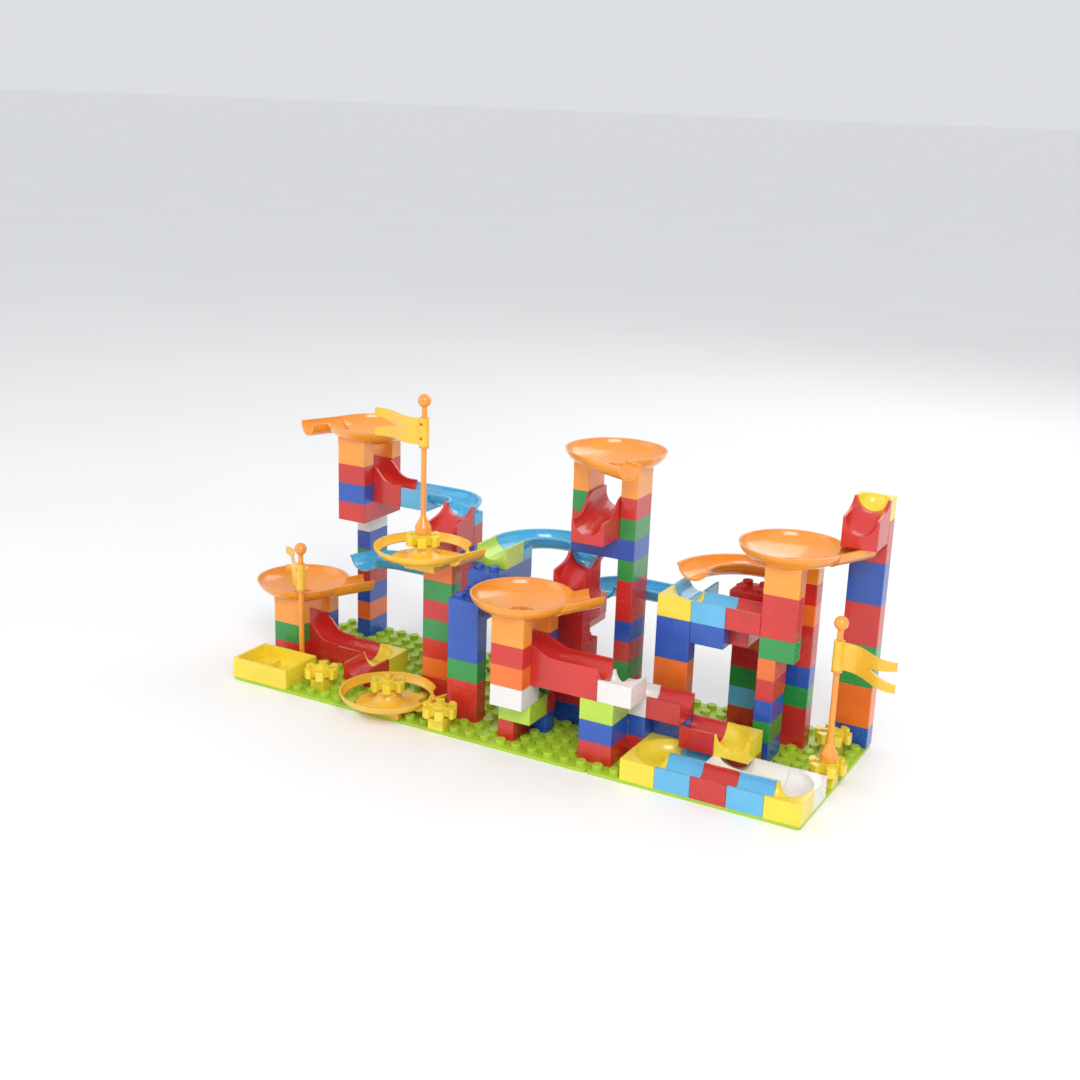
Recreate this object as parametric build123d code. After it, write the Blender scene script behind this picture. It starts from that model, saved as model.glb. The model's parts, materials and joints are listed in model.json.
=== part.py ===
from build123d import *
import math
import os

# A marble run of large stud bricks: three studded base plates side by side, brick
# towers, five orange funnels, U-shaped tracks, two round dishes, turning windmills
# and three flags. X runs along the plates, Y to the back, Z up; the origin is the
# middle of the middle plate's underside. The layout below counts studs from the
# front left corner of the left plate.

# ---- driving dimensions (mm) ----
PITCH = 16.0              # stud spacing
COURSE = 19.2             # height of one brick
PLAY = 0.1                # each side of a piece stops this short of its grid line
PLATE_STUDS = 12          # studs along each side of a base plate
PLATE_T = 3.0
PLATES = ("left", "middle", "right")
STUD_R = 4.7
STUD_H = 4.4
STUD_EDGE = 0.5           # rounding of a stud's top edge
WALL = 1.5
ROOF = 1.8
SOCKET_H = 5.0            # hollow under a solid piece, deep enough for a stud
TUBE_R = 6.5              # tube between four studs
TUBE_T = 1.2
RIB_R = 3.2               # pin between two studs of a one-wide brick
CORNER_R = 0.7            # rounding of upright edges
GROOVE_R = 13.6           # marble groove
GROOVE_DEPTH = 12.4
CURVE_WALL = 2.0          # shell of a curved track
BOWL_R = 46.0
BOWL_DEPTH = 16.8
BOWL_T = 2.0
BOWL_SHIFT = 4.0          # a bowl sits this far from its legs' middle, away from the spout
HOLE_R = 10.0             # drop hole of a funnel
SPOUT_R = 12.5
FUNNEL_SPOUT = (25.0, 45.0)   # degrees that the spout leans outwards, and its length
DISH_SPOUT = (15.0, 30.0)
DISH_R = 45.0
DISH_SHIFT = 6.0
DISH_RIM = COURSE
DISH_T = 2.0
DISH_FOOT = 6.0           # height of the dish's floor above what it stands on
HUB_R = 13.0
PIN_R = 3.0               # windmill pin and flagpole
FIT = 0.08                # running clearance on a pin, on the radius
MILL_R = 16.6
MILL_H = 11.0
PADDLES = 6
POLE_LEN = 122.0
POLE_R = 2.5
BALL_R = 6.0
POST_H = COURSE / 2
SHOULDER = 1.2            # rest under a windmill
GAP = 0.3                 # end play of a turning piece
FLAG_LEN = 60.0
FLAG_H = 26.0
FLAG_T = 2.0
PIN_TOP = GAP + MILL_H + GAP + SOCKET_H   # height of a pin that carries a wheel and a pole
FLAG_Z = POLE_LEN - BALL_R - FLAG_H - 9.0
SLEEVE_R = 4.6
WAVE = 3.0


def at(x, y, course=0.0):
    """Location of a grid point: studs along X and Y, courses above the plates."""
    return Location((x * PITCH, y * PITCH, PLATE_T + course * COURSE))


def cylinder(radius, height, x=0.0, y=0.0, z=0.0):
    base = (Align.CENTER, Align.CENTER, Align.MIN)
    return Pos(x, y, z) * Cylinder(radius, height, align=base)


def block(size_x, size_y, size_z, x=0.0, y=0.0, z=0.0):
    """Box with its lowest corner at x, y, z."""
    return Pos(x, y, z) * Box(size_x, size_y, size_z, align=(Align.MIN, Align.MIN, Align.MIN))


def stud(x, y, z):
    """One stud, sunk a little into the piece below it."""
    sink = 0.5
    shape = cylinder(STUD_R, STUD_H + sink)
    shape = fillet(shape.edges().group_by(Axis.Z)[-1], STUD_EDGE)
    return Pos(x, y, z - sink) * shape


def studs(nx, ny, z, first_x=0, first_y=0):
    return [
        stud((first_x + i + 0.5) * PITCH, (first_y + j + 0.5) * PITCH, z)
        for i in range(nx)
        for j in range(ny)
    ]


def one_solid(shape):
    solids = shape.solids()
    return max(solids, key=lambda s: s.volume)


def shell_block(nx, ny, height):
    """Rounded outer block of a piece that covers nx by ny studs."""
    body = block(nx * PITCH - 2 * PLAY, ny * PITCH - 2 * PLAY, height, PLAY, PLAY)
    return fillet(body.edges().filter_by(Axis.Z), CORNER_R)


def hollow(nx, ny, depth, x=0.0, y=0.0):
    inset = PLAY + WALL
    return block(nx * PITCH - 2 * inset, ny * PITCH - 2 * inset, depth, x + inset, y + inset)


def grips(nx, ny, depth):
    """Tubes between studs, or pins where the piece is one stud wide."""
    parts = []
    reach = depth + 0.5
    if nx > 1 and ny > 1:
        for i in range(1, nx):
            for j in range(1, ny):
                tube = cylinder(TUBE_R, reach) - cylinder(TUBE_R - TUBE_T, depth)
                parts.append(Pos(i * PITCH, j * PITCH) * tube)
    else:
        for i in range(1, max(nx, ny)):
            x, y = (i, 0.5) if nx > 1 else (0.5, i)
            parts.append(cylinder(RIB_R, reach, x * PITCH, y * PITCH))
    return parts


def brick(nx, ny, courses=1):
    height = courses * COURSE
    depth = height - ROOF
    body = shell_block(nx, ny, height) - hollow(nx, ny, depth)
    for piece in grips(nx, ny, depth) + studs(nx, ny, height):
        body = body + piece
    return one_solid(body)


def base_plate():
    size = PLATE_STUDS * PITCH
    body = block(size - 2 * PLAY, size - 2 * PLAY, PLATE_T, PLAY, PLAY)
    body = fillet(body.edges().filter_by(Axis.Z), 4.0)
    return one_solid(body + studs(PLATE_STUDS, PLATE_STUDS, PLATE_T))


# ---- tracks ----
def groove_face(top):
    """Cross-section of the marble groove in the XZ plane, centred on X = 0."""
    centre = top - GROOVE_DEPTH + GROOVE_R
    face = Pos(0, centre) * Circle(GROOVE_R) + Pos(0, centre + COURSE / 2) * Rectangle(
        2 * GROOVE_R, COURSE
    )
    return face


def groove_along_x(length, top, y):
    face = Plane.YZ * groove_face(top)
    return Pos(-1, y, 0) * extrude(face, length + 2)


def falling_groove(length, high, low, start, foot):
    """Cutter along +X, open above, whose floor eases down from high to low."""
    steps = round(length / 6)
    sections = []
    for i in range(steps + 1):
        x = -1 + (length + 2) * i / steps
        t = min(max((x - start) / (foot - start), 0.0), 1.0)
        floor = high + (low - high) * (1 - math.cos(math.pi * t)) / 2
        sections.append(Pos(x, 0, floor) * (Plane.YZ * groove_face(GROOVE_DEPTH)))
    return loft(sections)


def socket(body, nx, ny):
    body = body - hollow(nx, ny, SOCKET_H)
    for piece in grips(nx, ny, SOCKET_H):
        body = body + piece
    return body


def straight_track(nx, ny=2):
    """Straight track along X."""
    body = shell_block(nx, ny, COURSE) - groove_along_x(nx * PITCH, COURSE, ny * PITCH / 2)
    return one_solid(socket(body, nx, ny))


def corner_track():
    """Two by two track whose groove turns from the +X side to the +Y side."""
    body = shell_block(2, 2, COURSE)
    ring = revolve(Pos(PITCH, 0) * (Plane.XZ * groove_face(COURSE)), Axis.Z, 90)
    body = body - Pos(2 * PITCH, 2 * PITCH) * Rot(Z=180) * ring
    return one_solid(socket(body, 2, 2))


def start_track():
    """One-stud-long track, open at the far end and closed by a rounded back."""
    body = shell_block(1, 2, COURSE)
    bowl = revolve(make_half(COURSE), Axis.Z)
    return one_solid(socket(body - Pos(0, PITCH, 0) * bowl, 1, 2))


def make_half(top):
    """Half of the groove's cross-section, on the +X side."""
    return Plane.XZ * (groove_face(top) & Pos(COURSE, 0) * Rectangle(2 * COURSE, 6 * COURSE))


def curve_radii():
    """Outer and inner radius of a curved track's U, and the height of their centre."""
    outer_r = PITCH - PLAY - 1.0
    inner_r = outer_r - CURVE_WALL
    return outer_r, inner_r, COURSE - GROOVE_DEPTH + inner_r


def curve_face():
    """Thin U section of a curved track, centred on X = 0, that clears the studs below."""
    half = PITCH - PLAY
    outer_r, inner_r, centre = curve_radii()
    ring = Pos(0, centre) * (Circle(outer_r) - Circle(inner_r))
    ring = ring & Pos(0, COURSE / 2) * Rectangle(2 * half, COURSE)
    lip_w = half - inner_r
    lips = [
        Pos(side * (inner_r + lip_w / 2), COURSE - 1.0) * Rectangle(lip_w, 2.0)
        for side in (-1, 1)
    ]
    return ring + lips


def curved_track(radius, angle, lead_in=0.0, lead_out=0.0, feet=()):
    """Track that starts at the origin, runs along +X and then turns left."""
    a = math.radians(angle)
    end = (lead_in + radius * math.sin(a), radius - radius * math.cos(a), 0)
    after = Location(end, (0, 0, angle))

    def swept(face):
        section = Plane.YZ * face
        body = revolve(Pos(lead_in) * section, Axis((lead_in, radius, 0), (0, 0, 1)), angle)
        if lead_in:
            body = body + extrude(section, lead_in)
        if lead_out:
            body = body + after * extrude(section, lead_out)
        return body

    body = swept(curve_face())
    outer_r, inner_r, centre = curve_radii()
    mid_wall = Pos(0, centre) * Circle((outer_r + inner_r) / 2)
    places = {"start": Pos(0, -PITCH), "end": after * Pos(lead_out - PITCH, -PITCH)}
    for foot in feet:
        block_below = socket(shell_block(1, 2, 0.6 * COURSE), 1, 2)
        body = body + (places[foot] * block_below - swept(mid_wall))
    return one_solid(body)


def slide(nx, exit_courses=1.1):
    """Slide between a funnel's legs: two courses high at X = 0, lower at the exit."""
    length = nx * PITCH
    start = 2 * COURSE
    end = exit_courses * COURSE
    crest = 1.6 * PITCH
    foot = min(length - 0.6 * PITCH, crest + 1.9 * PITCH)
    body = shell_block(nx, 2, start)
    over = [(crest, start + 1), (crest, start)]
    with BuildSketch(Plane.XZ) as cut:
        with BuildLine():
            Polyline((length + 1, end), (length + 1, start + 1), over[0], over[1])
            Spline(over[1], (foot, end), tangents=((1, -0.1), (1, 0)))
            Line((foot, end), (length + 1, end))
        make_face()
    body = body - Pos(0, -1) * extrude(cut.sketch, -(2 * PITCH + 2))
    high = start - 1.35 * GROOVE_R
    groove = falling_groove(length, high, end - GROOVE_R, 0.0, foot)
    body = body - Pos(0, PITCH) * groove
    return one_solid(socket(body, nx, 2))


def chute(courses, exit_floor):
    """Two by two drop chute: high inlet at the back (+Y), low outlet at the front."""
    height = courses * COURSE
    span = 2 * PITCH
    inlet = height - GROOVE_DEPTH
    outlet = exit_floor * COURSE
    body = shell_block(2, 2, height)
    front_top = outlet + 0.75 * COURSE
    with BuildSketch(Plane.YZ) as cut:
        with BuildLine():
            Spline((-1, front_top), (0.9 * span, height + 1), tangents=((1, 0.25), (0.35, 1)))
            Polyline((0.9 * span, height + 1), (-1, height + 1), (-1, front_top))
        make_face()
    body = body - extrude(cut.sketch, span + 2)
    groove = falling_groove(span, inlet, outlet, 0.1 * span, 0.9 * span)
    body = body - Pos(PITCH, span) * Rot(Z=-90) * groove
    lug = brick(2, 1)
    body = socket(body, 2, 2)
    link = block(2 * PITCH - 4 * PLAY, 4 * PLAY, COURSE - 2 * ROOF, 2 * PLAY, 2 * PITCH - 2 * PLAY, ROOF)
    return one_solid(body + Pos(0, 2 * PITCH) * lug + link)


# ---- funnels and dishes ----
def turned(points_and_tangents, closing):
    """Solid of revolution: a spline wall, closed back to the axis by straight lines."""
    points, tangents = points_and_tangents
    with BuildSketch(Plane.XZ) as profile:
        with BuildLine():
            Spline(*points, tangents=tangents)
            Polyline(points[-1], *closing, points[0])
        make_face()
    return revolve(profile.sketch, Axis.Z)


def scoop(rim, start_x, spout):
    """Half-round spout towards +Y, splayed outwards: its outside and its inside."""
    splay, reach = spout
    centre = rim - 1.0
    half = Pos(0, centre) * Circle(SPOUT_R) & Pos(0, centre - SPOUT_R) * Rectangle(
        3 * SPOUT_R, 2 * SPOUT_R
    )
    edge = Pos(0, centre + 0.5) * Rectangle(2 * SPOUT_R, 1.0)
    bore_r = SPOUT_R - BOWL_T
    bore = Pos(0, centre) * Circle(bore_r) + Pos(0, centre + SPOUT_R) * Rectangle(
        2 * bore_r, 2 * SPOUT_R
    )
    outside = extrude(Plane.XZ * (half + edge), -reach)
    inside = Pos(0, -1, 0) * extrude(Plane.XZ * bore, -(reach + 2))
    place = Location((start_x, -2.0, 0), (0, 0, -splay))
    return place * outside, place * inside


def funnel():
    """Bowl on two one-course legs with a two-stud gap; spout on the +X side, open to +Y."""
    drop = COURSE + 2.0
    rim = drop + BOWL_DEPTH
    inner_r = BOWL_R - BOWL_T
    outer = turned(
        (((HOLE_R + 3, drop - BOWL_T), (0.66 * BOWL_R, drop + 2.6), (BOWL_R, rim)),
         ((1, 0.05), (0.25, 1))),
        ((0, rim), (0, drop - BOWL_T)),
    )
    inner = turned(
        (((HOLE_R, drop + 1.4), (0.62 * BOWL_R, drop + 5.2), (inner_r, rim)),
         ((1, 0.08), (0.25, 1))),
        ((inner_r, rim + 2), (0, rim + 2), (0, drop + 1.4)),
    )
    outside, inside = scoop(rim, BOWL_R - SPOUT_R, FUNNEL_SPOUT)
    body = outer + outside
    body = body - inner - inside - cylinder(HOLE_R, 2 * COURSE, 0, 0, drop - COURSE)
    body = Pos(-BOWL_SHIFT) * body
    neck_h = 8.0
    for side in (-1, 1):
        leg = shell_block(2, 1, COURSE) - hollow(2, 1, COURSE - ROOF)
        for piece in grips(2, 1, COURSE - ROOF):
            leg = leg + piece
        neck = block(2 * PITCH - 2 * PLAY, PITCH - 2 * PLAY, neck_h, PLAY, PLAY, COURSE - 0.2)
        leg = Pos(-PITCH, side * 1.5 * PITCH - PITCH / 2) * (leg + neck)
        body = body + (leg - Pos(-BOWL_SHIFT) * inner)
    return one_solid(body)


def dish():
    """Round dish with a raised hub, a ring trough and a spout on +X, open to +Y."""
    floor = DISH_FOOT
    inner_r = DISH_R - DISH_T
    trough_r = HUB_R + 9.0
    body = turned(
        (((HUB_R + 6, floor), (DISH_R - 6, floor + 5), (DISH_R, DISH_RIM)),
         ((1, 0.05), (0.2, 1))),
        ((0, DISH_RIM), (0, floor)),
    )
    with BuildSketch(Plane.XZ) as ring:
        with BuildLine():
            Spline((HUB_R - 4, DISH_RIM - 2), (trough_r, floor + DISH_T), (inner_r, DISH_RIM),
                   tangents=((0.4, -1), (0.2, 1)))
            Polyline((inner_r, DISH_RIM), (inner_r, DISH_RIM + 1), (HUB_R - 4, DISH_RIM + 1),
                     (HUB_R - 4, DISH_RIM - 2))
        make_face()
    outside, inside = scoop(DISH_RIM, DISH_R - SPOUT_R, DISH_SPOUT)
    body = body + outside
    body = body - revolve(ring.sketch, Axis.Z)
    body = body - (inside - cylinder(HUB_R + 4, 2 * COURSE))
    body = Pos(-DISH_SHIFT) * (body + cylinder(PIN_R, PIN_TOP + 2.5, 0, 0, DISH_RIM - 2.5))
    foot = shell_block(2, 3, floor + 1.0) - hollow(2, 3, floor - 0.8)
    for piece in grips(2, 3, floor - 1.2):
        foot = foot + piece
    return one_solid(body + Pos(-PITCH, -PITCH) * foot)


# ---- small moving pieces ----
def windmill():
    """Paddle wheel with a through bore; it turns about Z on a pin."""
    hub_r = 6.5
    body = cylinder(hub_r, MILL_H)
    for i in range(PADDLES):
        arm = block(MILL_R - 4.0, 3.2, MILL_H - 2.5, 3.0, -1.6, 1.2)
        cup = block(5.0, 8.4, MILL_H - 2.0, MILL_R - 5.4, -4.2, 1.0)
        cup = fillet(cup.edges().filter_by(Axis.Z), 2.0)
        body = body + Rot(Z=i * 360 / PADDLES) * (arm + cup)
    return one_solid(body - cylinder(PIN_R + FIT, MILL_H + 2, 0, 0, -1))


def mill_post(pin_top):
    """Half-height one-stud brick with a shoulder and a pin that carries a windmill."""
    body = shell_block(1, 1, POST_H) - hollow(1, 1, POST_H - ROOF)
    body = Pos(-PITCH / 2, -PITCH / 2) * body
    shoulder_top = POST_H + SHOULDER
    body = body + cylinder(5.0, SHOULDER + 0.2, 0, 0, POST_H - 0.2)
    return one_solid(body + cylinder(PIN_R, pin_top + 1.0, 0, 0, shoulder_top - 1.0))


def flagpole(bore):
    """Pole with a ball on top and a rounded foot with a socket of the given radius."""
    foot = cylinder(7.5, 6.0) - cylinder(bore, SOCKET_H)
    cone = Pos(0, 0, 5.9) * Cone(7.5, POLE_R, 10.0, align=(Align.CENTER, Align.CENTER, Align.MIN))
    pole = cylinder(POLE_R, POLE_LEN - 8.0, 0, 0, 8.0)
    collar = cylinder(SLEEVE_R, 1.5, 0, 0, FLAG_Z - 1.7)
    ball = Pos(0, 0, POLE_LEN) * Sphere(BALL_R)
    return one_solid(foot + cone + pole + collar + ball)


def flag():
    """Swallowtail flag along -X on a sleeve that turns on the pole, origin at its foot."""
    def edge(y):
        return [(-SLEEVE_R + 1.5, y), (-0.35 * FLAG_LEN, y - WAVE), (-0.7 * FLAG_LEN, y + WAVE),
                (-FLAG_LEN, y)]

    with BuildSketch() as plan:
        with BuildLine():
            Spline(*edge(0.0))
            Line(edge(0.0)[-1], edge(-FLAG_T)[-1])
            Spline(*reversed(edge(-FLAG_T)))
            Line(edge(-FLAG_T)[0], edge(0.0)[0])
        make_face()
    sheet = extrude(plan.sketch, FLAG_H)
    tail = -FLAG_LEN - 1
    with BuildSketch(Plane.XZ) as outline:
        Polygon((0, 1), (-0.5 * FLAG_LEN, 1), (tail, 0), (tail, 7), (-0.55 * FLAG_LEN, 0.48 * FLAG_H),
                (tail, FLAG_H - 7), (tail, FLAG_H), (-0.5 * FLAG_LEN, FLAG_H - 1), (0, FLAG_H - 1),
                align=None)
    sheet = sheet & Pos(0, -30) * extrude(outline.sketch, -60)
    body = cylinder(SLEEVE_R, FLAG_H) + sheet
    body = body - cylinder(POLE_R + FIT, FLAG_H + 2, 0, 0, -1)
    for level in (0.22, 0.72):
        body = body - block(3.4, 6.0, 2.6, -1.7, -SLEEVE_R - 3.0, level * FLAG_H)
    return one_solid(body)


def tray():
    """Open catch tray, four by three studs, with a short upright divider."""
    body = shell_block(4, 3, COURSE)
    inner = block(4 * PITCH - 5.0, 3 * PITCH - 5.0, COURSE, 2.5, 2.5, SOCKET_H + ROOF)
    inner = fillet(inner.edges().filter_by(Axis.Z), 5.0)
    body = body - inner
    divider = block(2.0, 12.0, 8.0, 2 * PITCH, 3 * PITCH / 2 - 6.0, SOCKET_H + ROOF - 0.5)
    return one_solid(socket(body, 4, 3) + divider)


# ---- layout: colour, x, y, course, studs along X, studs along Y, courses high ----
def column(x, y, nx, ny, start, layers):
    """Bricks stacked from a course upwards; each layer is a colour and its courses."""
    rows = []
    level = start
    for colour, courses in layers:
        rows.append((colour, x, y, level, nx, ny, courses))
        level += courses
    return rows


BRICKS = (
    # far right tower
    column(34, 11, 2, 1, 0, [("blue", 1), ("orange", 2), ("green", 2), ("red", 2),
                             ("blue", 2), ("red", 1)])
    # right funnel: narrow foot, then the front and the rear column
    + column(31, 6, 1, 2, 0, [("blue", 1), ("green", 1), ("blue", 1), ("red", 1), ("orange", 1)])
    + column(31, 6, 2, 1, 5, [("green", 1), ("red", 2)])
    + column(31, 9, 2, 1, 0, [("red", 2), ("green", 1), ("blue", 1), ("red", 2), ("orange", 1),
                               ("red", 1)])
    # columns under the high track row
    + column(28, 10, 2, 1, 0, [("red", 1), ("light_blue", 1), ("green", 1), ("red", 1),
                               ("orange", 1)])
    + column(25, 6, 2, 1, 0, [("green", 2), ("orange", 2), ("blue", 2)])
    + [("blue", 27, 6, 5, 2, 1, 1), ("red", 28, 7, 5, 2, 4, 1), ("red", 28, 9, 6, 2, 2, 1)]
    # middle tower
    + column(22, 7, 1, 2, 0, [("blue", 1), ("red", 1), ("green", 1), ("red", 1), ("blue", 1),
                              ("red", 1), ("red", 1), ("green", 1)])
    + [("blue", 19, 7, 8, 4, 2, 1)]
    + column(22, 7, 1, 2, 9, [("green", 1), ("red", 1)])
    + column(19, 7, 1, 2, 9, [("red", 1), ("green", 1)])
    # column of the centre chute and its side arm
    + column(19, 5, 2, 2, 0, [("blue", 1), ("red", 1), ("green", 1), ("red", 1)])
    + [("red", 19, 5, 4, 2, 1, 1), ("orange", 18, 6, 4, 2, 4, 1)]
    # column behind the middle tower
    + column(24, 9, 1, 2, 0, [("blue", 1), ("red", 1), ("green", 1), ("blue", 1), ("red", 1)])
    # front funnel
    + [("red", 18, 1, 0, 1, 2, 1), ("lime", 18, 1, 1, 2, 2, 1), ("white", 18, 0, 2, 2, 2, 1)]
    + column(18, 0, 2, 1, 3, [("orange", 1), ("red", 1)])
    + column(18, 3, 2, 1, 0, [("blue", 1), ("red", 1), ("green", 1), ("blue", 2)])
    # supports of the low white track
    + [("red", 23, 1, 0, 2, 2, 1), ("blue", 23, 1, 1, 2, 2, 1), ("lime", 23, 1, 2, 2, 2, 1)]
    + column(26, 4, 2, 1, 0, [("red", 1), ("blue", 1)])
    + column(25, 3, 1, 2, 0, [("red", 1), ("blue", 1)])
    + column(28, 4, 2, 1, 0, [("red", 1)])
    + column(30, 4, 2, 1, 0, [("red", 1)])
    # upper dish: rear column, right column and the chute behind
    + column(11, 4, 2, 1, 0, [("red", 1), ("orange", 1), ("red", 1), ("green", 1), ("red", 1),
                              ("green", 1), ("orange", 1)])
    + column(14, 2, 2, 1, 0, [("red", 1), ("red", 1), ("green", 1), ("blue", 2)])
    + [("blue", 14, 2, 5, 2, 4, 1), ("blue", 14, 4, 6, 2, 4, 1)]
    + column(10, 8, 2, 1, 0, [("blue", 1), ("red", 1), ("blue", 1), ("green", 1), ("red", 2),
                              ("blue", 1)])
    # upper left funnel
    + column(2, 10, 1, 2, 0, [("blue", 1), ("orange", 1), ("blue", 1), ("red", 1), ("green", 1),
                              ("blue", 1), ("white", 1)])
    + [("red", 2, 8, 7, 2, 4, 1)]
    + column(2, 8, 2, 1, 8, [("blue", 1), ("red", 1)])
    + column(2, 11, 2, 1, 8, [("blue", 1), ("red", 1)])
    # left funnel
    + column(0, 4, 2, 1, 0, [("red", 1), ("green", 1)])
    + column(0, 7, 2, 1, 0, [("red", 1), ("blue", 1)])
    # column between the left funnel and the upper dish
    + column(8, 9, 2, 1, 0, [("green", 1), ("red", 1), ("blue", 1), ("lime", 1)])
)

# straight tracks along X: node, x, y, course
STRAIGHTS = [
    ("light_blue_tracks", 28, 0, 0),
    ("light_blue_tracks", 32, 0, 0),
    ("light_blue_tracks", 28, 2, 0),
    ("light_blue_tracks", 27, 6, 6),
    ("light_blue_tracks", 6, 9, 8),
    ("red_tracks", 30, 0, 0),
    ("red_tracks", 29, 6, 6),
    ("red_tracks", 26, 3, 2),
    ("red_tracks", 28, 3, 1),
    ("red_tracks", 4, 5, 0),
    ("red_tracks", 8, 9, 4),
    ("white_tracks", 32, 2, 0),
]

# straight tracks along Y: node, x, y, course
CROSS_TRACKS = [
    ("lime_track", 14, 5, 7),
    ("blue_track", 25, 8, 6),
    ("red_tracks", 6, 3, 0),
]

# corner tracks: node, x, y, course, turns of 90 degrees
CORNERS = [
    ("yellow_corners", 26, 0, 0, 0),
    ("yellow_corners", 26, 2, 0, 3),
    ("yellow_corners", 34, 0, 0, 1),
    ("white_corners", 34, 2, 0, 2),
    ("white_corners", 30, 2, 0, 0),
    ("yellow_corners", 30, 3, 1, 2),
    ("yellow_corners", 25, 6, 6, 0),
    ("white_corners", 24, 1, 3, 1),
    ("white_corners", 24, 3, 2, 3),
    ("yellow_corners", 6, 5, 0, 2),
]

# funnels: node, centre x, centre y, course of the leg feet, turns of 90 degrees
FUNNELS = [
    ("funnel_front", 19, 2, 5, 0),
    ("funnel_right", 32, 8, 8, 0),
    ("funnel_middle", 21, 8, 11, -1),
    ("funnel_upper_left", 3, 10, 10, 2),
    ("funnel_left", 1, 6, 2, 0),
]

# dishes: node, centre x, centre y, course
DISHES = [("dish_front", 11, 1, 0), ("dish_upper", 12, 3, 7)]

# windmills on posts: centre x, centre y; the third carries the right flagpole
MILL_POSTS = [(5.5, 1.5), (14.5, 0.5), (35.5, 5.5), (34.5, 9.5)]
POLE_POST = 2


def pole_places(dish_wheel, post_wheel):
    """Each flagpole's name, place, socket radius and the angle that its flag is turned to."""
    on_plate = STUD_R + 0.05
    on_pin = PIN_R + 0.02
    above = Pos(0, 0, MILL_H + GAP)
    return [
        ("left", at(2.5, 3.5), on_plate, -40),
        ("right", post_wheel * above, on_pin, 155),
        ("upper", dish_wheel * above, on_pin, -10),
    ]


def main():
    nodes = {}

    corner = Pos(-len(PLATES) * PLATE_STUDS * PITCH / 2, -PLATE_STUDS * PITCH / 2)

    def put(name, shape, place):
        nodes.setdefault(name, []).append(corner * place * shape)

    made = {}
    for colour, x, y, course, nx, ny, courses in BRICKS:
        key = (nx, ny, courses)
        if key not in made:
            made[key] = brick(*key)
        size = "tall_" if courses > 1 else ""
        put(f"{colour}_{size}bricks_{min(nx, ny)}x{max(nx, ny)}", made[key], at(x, y, course))
    plate = base_plate()
    for i, name in enumerate(PLATES):
        put(f"base_plate_{name}", plate, Pos(i * PLATE_STUDS * PITCH, 0, 0))
    track = straight_track(2)
    for name, x, y, course in STRAIGHTS:
        put(name, track, at(x, y, course))
    for name, x, y, course in CROSS_TRACKS:
        put(name, track, at(x + 2, y, course) * Rot(Z=90))
    bend = corner_track()
    for name, x, y, course, turns in CORNERS:
        middle = at(x + 1, y + 1, course)
        put(name, bend, middle * Rot(Z=90 * turns) * Pos(-PITCH, -PITCH))
    bowl = funnel()
    for name, x, y, course, turns in FUNNELS:
        put(name, bowl, at(x, y, course) * Rot(Z=90 * turns))
    put("slide_front", slide(6, 1.5), at(18, 1, 3))
    short_slide = slide(4)
    put("short_slides", short_slide, at(2, 9, 8))
    put("short_slides", short_slide, at(0, 5, 0))
    put("short_slides", short_slide, at(20, 9, 9) * Rot(Z=-90))
    put("chute_centre", chute(3, 1.7), at(19, 5, 5))
    low_chute = chute(2, 0.6)
    put("low_chutes", low_chute, at(34, 9, 10))
    put("low_chutes", low_chute, at(10, 6, 7))
    put("start_track", start_track(), at(36, 11, 11) * Rot(Z=90))
    big_curve = curved_track(2.5 * PITCH, 180, feet=("end",))
    put("big_blue_curve", big_curve, at(20, 7, 7) * Rot(Z=90))
    upper_curve = curved_track(2 * PITCH, 90, 0, PITCH, feet=("start",))
    put("upper_blue_curve", upper_curve, at(11, 8, 8) * Rot(Z=90))
    put("low_blue_curves", curved_track(1.6 * PITCH, 90, 2.8 * PITCH), at(8, 10, 4) * Rot(Z=180))
    rear_curve = curved_track(1.5 * PITCH, 90, 3.4 * PITCH)
    put("low_blue_curves", rear_curve, at(25, 10.5, 5) * Rot(Z=180))
    put("orange_curve", curved_track(3 * PITCH, 90, 2 * PITCH), at(31, 11.4, 7) * Rot(Z=180))
    bowl_dish = dish()
    wheel = windmill()
    wheel_places = {}
    for name, x, y, course in DISHES:
        put(name, bowl_dish, at(x, y, course))
        hub = at(x, y, course) * Pos(-DISH_SHIFT, 0, DISH_RIM + GAP)
        wheel_places[name.replace("dish", "windmill")] = hub
    put("tray", tray(), at(0, 0))
    for i, (x, y) in enumerate(MILL_POSTS):
        pin_top = PIN_TOP if i == POLE_POST else GAP + MILL_H + 1.5
        put("windmill_posts", mill_post(pin_top), at(x, y))
        wheel_places[f"windmill_{i + 1}"] = at(x, y) * Pos(0, 0, POST_H + SHOULDER + GAP)
    for name, place in wheel_places.items():
        put(name, wheel, place)
    banner = flag()
    poles = pole_places(wheel_places["windmill_upper"], wheel_places[f"windmill_{POLE_POST + 1}"])
    for name, place, bore, angle in poles:
        put(f"flagpole_{name}", flagpole(bore), place)
        put(f"flag_{name}", banner, place * Pos(0, 0, FLAG_Z) * Rot(Z=angle))
    os.makedirs("parts", exist_ok=True)
    for name, shapes in nodes.items():
        export_step(Compound(children=shapes) if len(shapes) > 1 else shapes[0], f"parts/{name}.step")
    print(len(nodes), "nodes,", sum(len(v) for v in nodes.values()), "solids")


main()
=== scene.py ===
import json
import math

import bpy
from mathutils import Matrix, Vector

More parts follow.
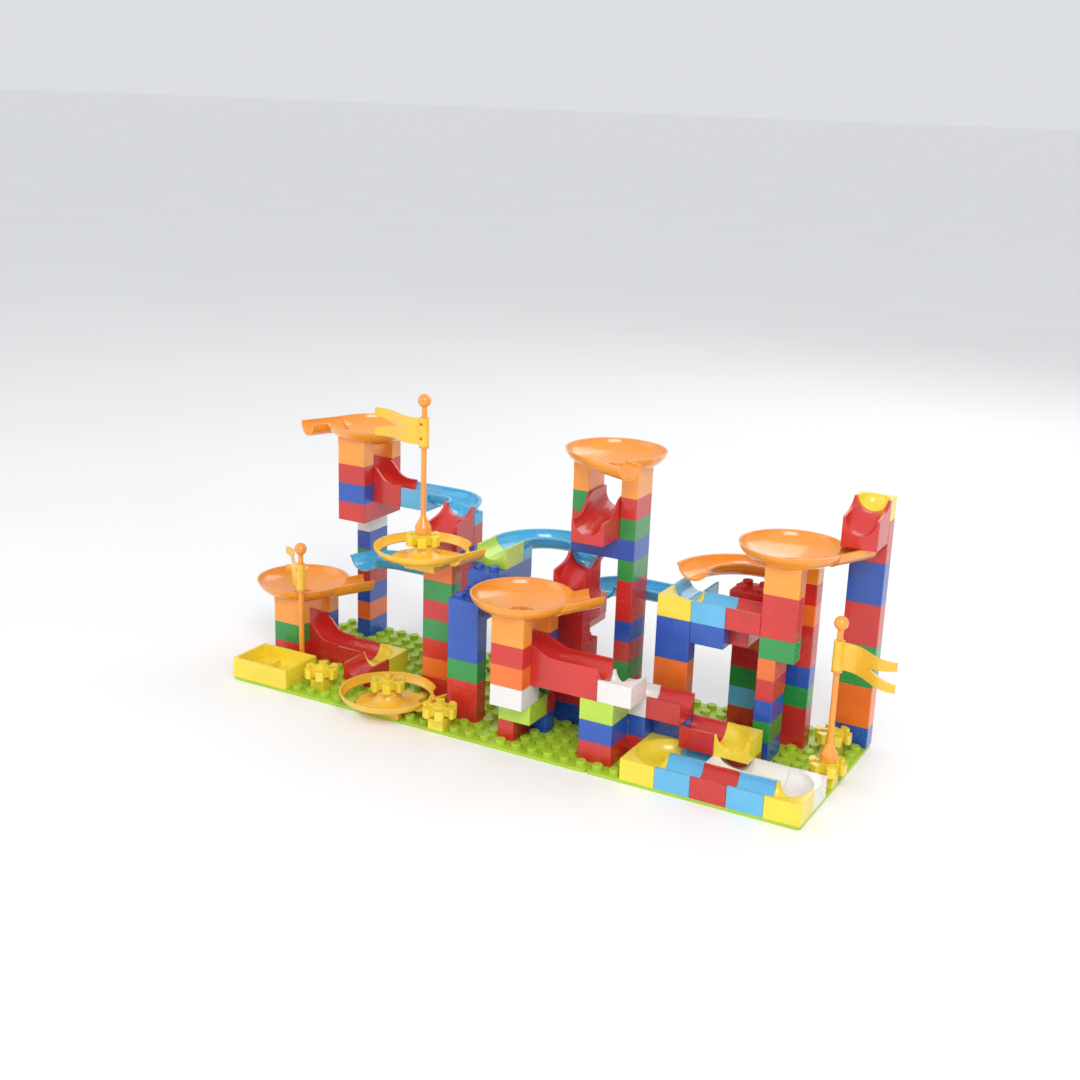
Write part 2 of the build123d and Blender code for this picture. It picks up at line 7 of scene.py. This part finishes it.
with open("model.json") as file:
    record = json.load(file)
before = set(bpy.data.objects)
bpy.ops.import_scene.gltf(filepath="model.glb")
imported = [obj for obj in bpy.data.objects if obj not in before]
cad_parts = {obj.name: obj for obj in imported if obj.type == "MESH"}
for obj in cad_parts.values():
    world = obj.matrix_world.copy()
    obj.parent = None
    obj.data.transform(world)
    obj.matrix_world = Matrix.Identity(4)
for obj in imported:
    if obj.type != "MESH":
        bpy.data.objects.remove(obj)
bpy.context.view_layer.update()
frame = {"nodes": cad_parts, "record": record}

# ---- colours of the moulded plastic (linear RGB) ----
LIME_PLATE = (0.40, 0.60, 0.030)
RED = (0.62, 0.030, 0.024)
BLUE = (0.018, 0.095, 0.48)
LIGHT_BLUE = (0.12, 0.48, 0.78)
GREEN = (0.025, 0.31, 0.065)
YELLOW = (0.90, 0.70, 0.045)
AMBER = (0.93, 0.53, 0.040)
LIME = (0.48, 0.70, 0.06)
WHITE = (0.82, 0.80, 0.77)
ORANGE = (0.85, 0.17, 0.022)
FUNNEL_ORANGE = (0.94, 0.34, 0.035)
CLEAR_BLUE = (0.09, 0.56, 0.92)

# ---- camera, fitted to the run's base plates and towers ----
CAMERA_AT = Vector((0.6028, -1.1279, 0.5509))
CAMERA_TURN = -28.4      # degrees clockwise from +Y, seen from above
CAMERA_DOWN = 16.7       # degrees below the horizon
CAMERA_ROLL = -2.0
FOCAL_MM = 49.2
SENSOR_MM = 36.0
CLIP_END = 200.0

# ---- plastic detail: noise scales are per metre, sizes in metres ----
FLOW_SCALE = 22.0        # colour flow in the moulding
RIPPLE_SCALE = 90.0      # soft mould ripple
SCUFF_SCALE = 260.0      # scuffs that dull the gloss
GRAIN_SCALE = 1800.0     # fine grain of the mould
EDGE_RADIUS = 0.0008
RIPPLE_DEPTH = 0.0004
CLEAR_RIPPLE_DEPTH = 0.0005
GRAIN_DEPTH = 0.0001
PLASTIC_IOR = 1.54
CLEAR_IOR = 1.45
FLAT_DOT, EDGE_DOT = 0.99, 0.75   # true and rounded normals agree, and clearly differ

# ---- studio ----
FLOOR_SIZE = 120.0
FLOOR_NOISE = 3.0
FLOOR_TONES = ((0.92, 0.92, 0.915), (0.94, 0.94, 0.935))
FLOOR_ROUGHNESS = 0.6
LIT_POINT = (0.0, 0.0, 0.1)
LIGHTS = (  # name, place, size in metres, watts, colour
    ("key", (0.9, -1.3, 1.5), 0.9, 19.0, (1.0, 0.98, 0.95)),
    ("fill", (-1.5, -1.0, 0.9), 1.4, 6.0, (0.93, 0.97, 1.0)),
    ("back", (0.2, 1.5, 1.3), 1.2, 8.0, (1.0, 1.0, 1.0)),
)
WORLD_COLOUR = (0.95, 0.97, 1.0, 1.0)
WORLD_STRENGTH = 0.76

# sockets of a Mix node that mixes colours
COLOUR_A, COLOUR_B, COLOUR_OUT = 6, 7, 2


# ---- materials ----
def shader_tree(name):
    material = bpy.data.materials.new(name)
    material.use_nodes = True
    tree = material.node_tree
    return material, tree, tree.nodes["Principled BSDF"]


def grey(level):
    return (level, level, level)


def object_noise(tree, scale, detail):
    """Noise over the object's own coordinates, so that it is the same from every side."""
    place = tree.nodes.new("ShaderNodeTexCoord")
    noise = tree.nodes.new("ShaderNodeTexNoise")
    noise.inputs["Scale"].default_value = scale
    noise.inputs["Detail"].default_value = detail
    tree.links.new(place.outputs["Object"], noise.inputs["Vector"])
    return noise.outputs["Fac"]


def ramp(tree, fac, low, high, start=0.3, end=0.7):
    """Colour ramp between two colours or two grey levels."""
    node = tree.nodes.new("ShaderNodeValToRGB")
    node.color_ramp.elements[0].position = start
    node.color_ramp.elements[1].position = end
    node.color_ramp.elements[0].color = (*low, 1.0)
    node.color_ramp.elements[1].color = (*high, 1.0)
    tree.links.new(fac, node.inputs["Fac"])
    return node.outputs["Color"]


def rounded_normal(tree):
    """Normal with every sharp edge rounded, as moulded plastic has."""
    bevel = tree.nodes.new("ShaderNodeBevel")
    bevel.inputs["Radius"].default_value = EDGE_RADIUS
    bevel.samples = 4
    return bevel.outputs["Normal"]


def worn_edges(tree, rounded):
    """Mask that is white along sharp edges, where the rounded normal leaves the true one."""
    geometry = tree.nodes.new("ShaderNodeNewGeometry")
    dot = tree.nodes.new("ShaderNodeVectorMath")
    dot.operation = "DOT_PRODUCT"
    tree.links.new(geometry.outputs["Normal"], dot.inputs[0])
    tree.links.new(rounded, dot.inputs[1])
    return ramp(tree, dot.outputs["Value"], grey(1.0), grey(0.0), EDGE_DOT, FLAT_DOT)


def bump(tree, height, strength, distance, normal):
    node = tree.nodes.new("ShaderNodeBump")
    node.inputs["Strength"].default_value = strength
    node.inputs["Distance"].default_value = distance
    tree.links.new(height, node.inputs["Height"])
    tree.links.new(normal, node.inputs["Normal"])
    return node.outputs["Normal"]


def blend_colours(tree, fac, first, second):
    """Mixes the colour of a socket with a fixed colour."""
    node = tree.nodes.new("ShaderNodeMix")
    node.data_type = "RGBA"
    tree.links.new(fac, node.inputs["Factor"])
    tree.links.new(first, node.inputs[COLOUR_A])
    node.inputs[COLOUR_B].default_value = (*second, 1.0)
    return node.outputs[COLOUR_OUT]


def moulded_plastic(name, colour, roughness=0.24, coat=0.35, variation=0.09):
    """Glossy injection-moulded plastic: slight colour flow, paler worn edges, fine scuffs
    and soft mould ripple."""
    material, tree, shader = shader_tree(name)
    darker = tuple(c * (1.0 - variation) for c in colour)
    lighter = tuple(min(1.0, c * (1.0 + variation)) for c in colour)
    paler = tuple(min(1.0, c * 1.12 + 0.05) for c in colour)
    rounded = rounded_normal(tree)
    body = ramp(tree, object_noise(tree, FLOW_SCALE, 2.0), darker, lighter)
    body = blend_colours(tree, worn_edges(tree, rounded), body, paler)
    tree.links.new(body, shader.inputs["Base Color"])
    scuffs = object_noise(tree, SCUFF_SCALE, 3.0)
    rough = ramp(tree, scuffs, grey(roughness - 0.03), grey(roughness + 0.09), 0.35, 0.75)
    tree.links.new(rough, shader.inputs["Roughness"])
    shader.inputs["IOR"].default_value = PLASTIC_IOR
    shader.inputs["Coat Weight"].default_value = coat
    shader.inputs["Coat Roughness"].default_value = 0.08
    ripple = object_noise(tree, RIPPLE_SCALE, 2.0)
    grain = object_noise(tree, GRAIN_SCALE, 2.0)
    normal = bump(tree, ripple, 0.12, RIPPLE_DEPTH, rounded)
    normal = bump(tree, grain, 0.015, GRAIN_DEPTH, normal)
    tree.links.new(normal, shader.inputs["Normal"])
    return material


def clear_plastic(name, colour):
    """See-through tinted plastic with faint flow streaks and scuffs."""
    material, tree, shader = shader_tree(name)
    lighter = tuple(min(1.0, c * 1.15 + 0.03) for c in colour)
    body = ramp(tree, object_noise(tree, FLOW_SCALE, 2.0), colour, lighter)
    tree.links.new(body, shader.inputs["Base Color"])
    scuffs = object_noise(tree, SCUFF_SCALE, 4.0)
    tree.links.new(ramp(tree, scuffs, grey(0.06), grey(0.18), 0.4, 0.8), shader.inputs["Roughness"])
    shader.inputs["Transmission Weight"].default_value = 0.35
    shader.inputs["IOR"].default_value = CLEAR_IOR
    shader.inputs["Coat Weight"].default_value = 0.5
    shader.inputs["Coat Roughness"].default_value = 0.04
    ripple = object_noise(tree, RIPPLE_SCALE, 2.0)
    normal = bump(tree, ripple, 0.15, CLEAR_RIPPLE_DEPTH, rounded_normal(tree))
    tree.links.new(normal, shader.inputs["Normal"])
    return material


PLASTICS = {
    "plate_lime": moulded_plastic("plate_lime_plastic", LIME_PLATE, 0.34, 0.15),
    "red": moulded_plastic("red_plastic", RED),
    "blue": moulded_plastic("blue_plastic", BLUE),
    "light_blue": moulded_plastic("light_blue_plastic", LIGHT_BLUE),
    "green": moulded_plastic("green_plastic", GREEN),
    "yellow": moulded_plastic("yellow_plastic", YELLOW),
    "yellow_orange": moulded_plastic("amber_plastic", AMBER),
    "lime": moulded_plastic("lime_plastic", LIME),
    "white": moulded_plastic("white_plastic", WHITE, variation=0.04),
    "orange": moulded_plastic("orange_plastic", ORANGE),
    "orange_bright": moulded_plastic("funnel_plastic", FUNNEL_ORANGE, 0.20, 0.5),
    "clear_blue": clear_plastic("clear_blue_plastic", CLEAR_BLUE),
}


def dress_nodes():
    """Gives every carried-over node its plastic."""
    slots = {row["node"]: row["material_slot"] for row in frame["record"]["subparts"]}
    for name, node in frame["nodes"].items():
        node.data.materials.clear()
        node.data.materials.append(PLASTICS[slots[name]])


# ---- studio ----
def studio_floor():
    bpy.ops.mesh.primitive_plane_add(size=FLOOR_SIZE, location=(0.0, 0.0, 0.0))
    floor = bpy.context.object
    floor.name = "studio_floor"
    material, tree, shader = shader_tree("pale_floor")
    tone = ramp(tree, object_noise(tree, FLOOR_NOISE, 3.0), *FLOOR_TONES)
    tree.links.new(tone, shader.inputs["Base Color"])
    shader.inputs["Roughness"].default_value = FLOOR_ROUGHNESS
    floor.data.materials.append(material)


def area_light(name, place, size, watts, colour):
    """Square soft light that faces the middle of the run."""
    data = bpy.data.lights.new(name, "AREA")
    data.size = size
    data.energy = watts
    data.color = colour
    light = bpy.data.objects.new(name, data)
    light.location = place
    facing = (Vector(LIT_POINT) - Vector(place)).to_track_quat("-Z", "Y")
    light.rotation_euler = facing.to_euler()
    bpy.context.collection.objects.link(light)


def studio_lights():
    for light in LIGHTS:
        area_light(*light)
    world = bpy.data.worlds.new("studio_world")
    world.use_nodes = True
    background = world.node_tree.nodes["Background"]
    background.inputs["Color"].default_value = WORLD_COLOUR
    background.inputs["Strength"].default_value = WORLD_STRENGTH
    bpy.context.scene.world = world


def camera():
    data = bpy.data.cameras.new("camera")
    data.lens = FOCAL_MM
    data.sensor_width = SENSOR_MM
    data.clip_end = CLIP_END
    view = bpy.data.objects.new("camera", data)
    turn, down, roll = (math.radians(v) for v in (CAMERA_TURN, CAMERA_DOWN, CAMERA_ROLL))
    aim = Matrix.Rotation(-turn, 4, "Z") @ Matrix.Rotation(math.pi / 2 - down, 4, "X")
    view.matrix_world = Matrix.Translation(CAMERA_AT) @ aim @ Matrix.Rotation(-roll, 4, "Z")
    bpy.context.collection.objects.link(view)
    bpy.context.scene.camera = view


camera()
dress_nodes()
studio_floor()
studio_lights()
bpy.context.scene.view_settings.view_transform = "Standard"
bpy.context.view_layer.update()
